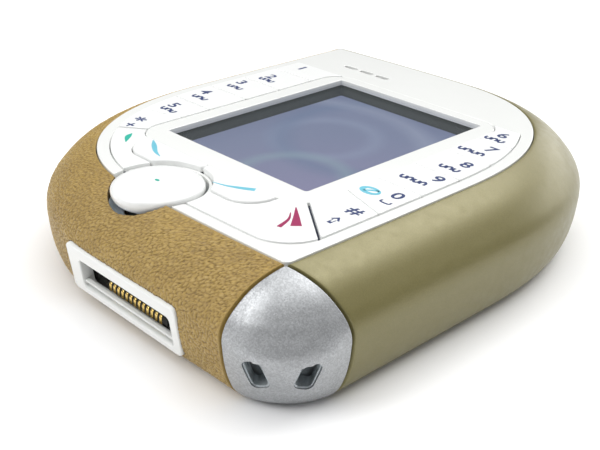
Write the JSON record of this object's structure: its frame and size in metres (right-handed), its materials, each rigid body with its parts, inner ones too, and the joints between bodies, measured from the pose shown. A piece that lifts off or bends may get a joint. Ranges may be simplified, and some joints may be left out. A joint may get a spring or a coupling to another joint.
{
  "type": "imaging handset",
  "caption": "Leaf-shaped pocket handset with a colour display, keys in a ring round it, a navigation disc, a bottom socket, a strap tip and changeable side covers.",
  "frame": {"origin": "centre of the flat back, on the surface the handset lies on", "axes": "+X the handset's right, +Y its top, +Z out of the display"},
  "size_m": [0.0764, 0.0874, 0.0186],
  "materials": {
    "white_shell": "glossy white moulding",
    "key_white": "satin white key tops",
    "leather": "pebbled tan leather",
    "satin_khaki": "satin khaki lacquer with a fine sparkle",
    "silver": "fine silver sparkle lacquer",
    "dark_plastic": "matt black",
    "grey_plastic": "matt grey",
    "clear": "clear window",
    "clear_collar": "milky light guide",
    "display": "blue-grey picture under a smooth polariser",
    "circuit_board": "green solder resist",
    "tin": "tinned sheet",
    "gold": "gold flash",
    "rubber": "silicone sheet",
    "battery_label": "plain wrapped cell",
    "card_white": "plain card"
  },
  "bodies": {
    "handset": {"strap_tip_cap": "silver", "upper_tip_cap": "silver", "rear_chassis": "grey_plastic", "case_screw_1": "tin", "case_screw_2": "tin", "case_screw_3": "tin", "case_screw_4": "tin", "camera_bezel": "silver", "camera_window": "clear", "camera_module": "dark_plastic", "loudspeaker": "dark_plastic", "earpiece": "dark_plastic", "microphone": "dark_plastic", "vibration_motor": "tin", "main_board": "circuit_board", "radio_shield": "tin", "power_shield": "tin", "processor": "dark_plastic", "antenna": "gold", "sim_holder": "tin", "sim_card": "card_white", "socket_shell": "tin", "socket_tongue": "dark_plastic", "contact_comb": "gold", "window_lens": "clear", "display_gasket": "dark_plastic", "display_panel": "display", "display_frame": "tin", "window_bezel": "white_shell", "faceplate": "white_shell", "key_mat": "rubber", "keypad_board": "circuit_board", "nav_dish": "clear_collar", "nav_switch": "dark_plastic", "power_switch": "dark_plastic"},
    "key_1": {"key_1": "key_white"},
    "key_2": {"key_2": "key_white"},
    "key_3": {"key_3": "key_white"},
    "key_4": {"key_4": "key_white"},
    "key_5": {"key_5": "key_white"},
    "key_star": {"key_star": "key_white"},
    "key_6": {"key_6": "key_white"},
    "key_7": {"key_7": "key_white"},
    "key_8": {"key_8": "key_white"},
    "key_9": {"key_9": "key_white"},
    "key_0": {"key_0": "key_white"},
    "key_hash": {"key_hash": "key_white"},
    "send_key": {"send_key": "key_white"},
    "end_key": {"end_key": "key_white"},
    "soft_key_left": {"soft_key_left": "key_white"},
    "soft_key_right": {"soft_key_right": "key_white"},
    "nav_stem": {"nav_stem": "grey_plastic"},
    "nav_hub": {"nav_hub": "grey_plastic"},
    "nav_disc": {"nav_disc": "key_white"},
    "left_cover": {"leather_cover": "leather", "port_frame": "white_shell"},
    "right_cover": {"satin_cover": "satin_khaki"},
    "power_key": {"power_key": "silver"},
    "battery_cover": {"battery_cover": "satin_khaki"},
    "battery": {"battery": "battery_label"}
  },
  "joints": [
    {"name": "key_1_press", "type": "slide", "parent": "handset", "child": "key_1", "axis": [0, 0, -1], "range_m": [0, 0.0003], "stiffness_N_per_m": 1500, "springref_m": -0.0002},
    {"name": "key_2_press", "type": "slide", "parent": "handset", "child": "key_2", "axis": [0, 0, -1], "range_m": [0, 0.0003], "stiffness_N_per_m": 1500, "springref_m": -0.0002},
    {"name": "key_3_press", "type": "slide", "parent": "handset", "child": "key_3", "axis": [0, 0, -1], "range_m": [0, 0.0003], "stiffness_N_per_m": 1500, "springref_m": -0.0002},
    {"name": "key_4_press", "type": "slide", "parent": "handset", "child": "key_4", "axis": [0, 0, -1], "range_m": [0, 0.0003], "stiffness_N_per_m": 1500, "springref_m": -0.0002},
    {"name": "key_5_press", "type": "slide", "parent": "handset", "child": "key_5", "axis": [0, 0, -1], "range_m": [0, 0.0003], "stiffness_N_per_m": 1500, "springref_m": -0.0002},
    {"name": "key_star_press", "type": "slide", "parent": "handset", "child": "key_star", "axis": [0, 0, -1], "range_m": [0, 0.0003], "stiffness_N_per_m": 1500, "springref_m": -0.0002},
    {"name": "key_6_press", "type": "slide", "parent": "handset", "child": "key_6", "axis": [0, 0, -1], "range_m": [0, 0.0003], "stiffness_N_per_m": 1500, "springref_m": -0.0002},
    {"name": "key_7_press", "type": "slide", "parent": "handset", "child": "key_7", "axis": [0, 0, -1], "range_m": [0, 0.0003], "stiffness_N_per_m": 1500, "springref_m": -0.0002},
    {"name": "key_8_press", "type": "slide", "parent": "handset", "child": "key_8", "axis": [0, 0, -1], "range_m": [0, 0.0003], "stiffness_N_per_m": 1500, "springref_m": -0.0002},
    {"name": "key_9_press", "type": "slide", "parent": "handset", "child": "key_9", "axis": [0, 0, -1], "range_m": [0, 0.0003], "stiffness_N_per_m": 1500, "springref_m": -0.0002},
    {"name": "key_0_press", "type": "slide", "parent": "handset", "child": "key_0", "axis": [0, 0, -1], "range_m": [0, 0.0003], "stiffness_N_per_m": 1500, "springref_m": -0.0002},
    {"name": "key_hash_press", "type": "slide", "parent": "handset", "child": "key_hash", "axis": [0, 0, -1], "range_m": [0, 0.0003], "stiffness_N_per_m": 1500, "springref_m": -0.0002},
    {"name": "send_key_press", "type": "slide", "parent": "handset", "child": "send_key", "axis": [0, 0, -1], "range_m": [0, 0.0003], "stiffness_N_per_m": 1500, "springref_m": -0.0002},
    {"name": "end_key_press", "type": "slide", "parent": "handset", "child": "end_key", "axis": [0, 0, -1], "range_m": [0, 0.0003], "stiffness_N_per_m": 1500, "springref_m": -0.0002},
    {"name": "soft_key_left_press", "type": "slide", "parent": "handset", "child": "soft_key_left", "axis": [0, 0, -1], "range_m": [0, 0.0003], "stiffness_N_per_m": 1500, "springref_m": -0.0002},
    {"name": "soft_key_right_press", "type": "slide", "parent": "handset", "child": "soft_key_right", "axis": [0, 0, -1], "range_m": [0, 0.0003], "stiffness_N_per_m": 1500, "springref_m": -0.0002},
    {"name": "nav_up_down", "type": "hinge", "parent": "handset", "child": "nav_stem", "pos_m": [0.0009, -0.0326, 0.0124], "axis": [1, 0, 0], "range_deg": [-3.5, 3.5], "stiffness_Nm_per_rad": 0.06},
    {"name": "nav_left_right", "type": "hinge", "parent": "nav_stem", "child": "nav_hub", "pos_m": [0.0009, -0.0326, 0.0124], "axis": [0, 1, 0], "range_deg": [-3.5, 3.5], "stiffness_Nm_per_rad": 0.06},
    {"name": "nav_press", "type": "slide", "parent": "nav_hub", "child": "nav_disc", "axis": [0, 0, -1], "range_m": [0, 0.00035], "stiffness_N_per_m": 1200, "springref_m": -0.0002},
    {"name": "power_press", "type": "slide", "parent": "right_cover", "child": "power_key", "axis": [0, -1, 0], "range_m": [0, 0.00025], "stiffness_N_per_m": 1500, "springref_m": -0.0002},
    {"name": "left_cover_off", "type": "slide", "parent": "handset", "child": "left_cover", "axis": [-0.6, -0.8, 0], "range_m": [0, 0.015]},
    {"name": "right_cover_off", "type": "slide", "parent": "handset", "child": "right_cover", "axis": [0.6, 0.8, 0], "range_m": [0, 0.015]},
    {"name": "battery_out", "type": "slide", "parent": "handset", "child": "battery", "axis": [0, 0, -1], "range_m": [0, 0.012]},
    {"name": "battery_cover_off", "type": "slide", "parent": "handset", "child": "battery_cover", "axis": [0, 0, -1], "range_m": [0, 0.024]}
  ],
  "couplings": [
    {"joint": "battery_cover_off", "follows": "battery_out", "ratio": 2}
  ]
}
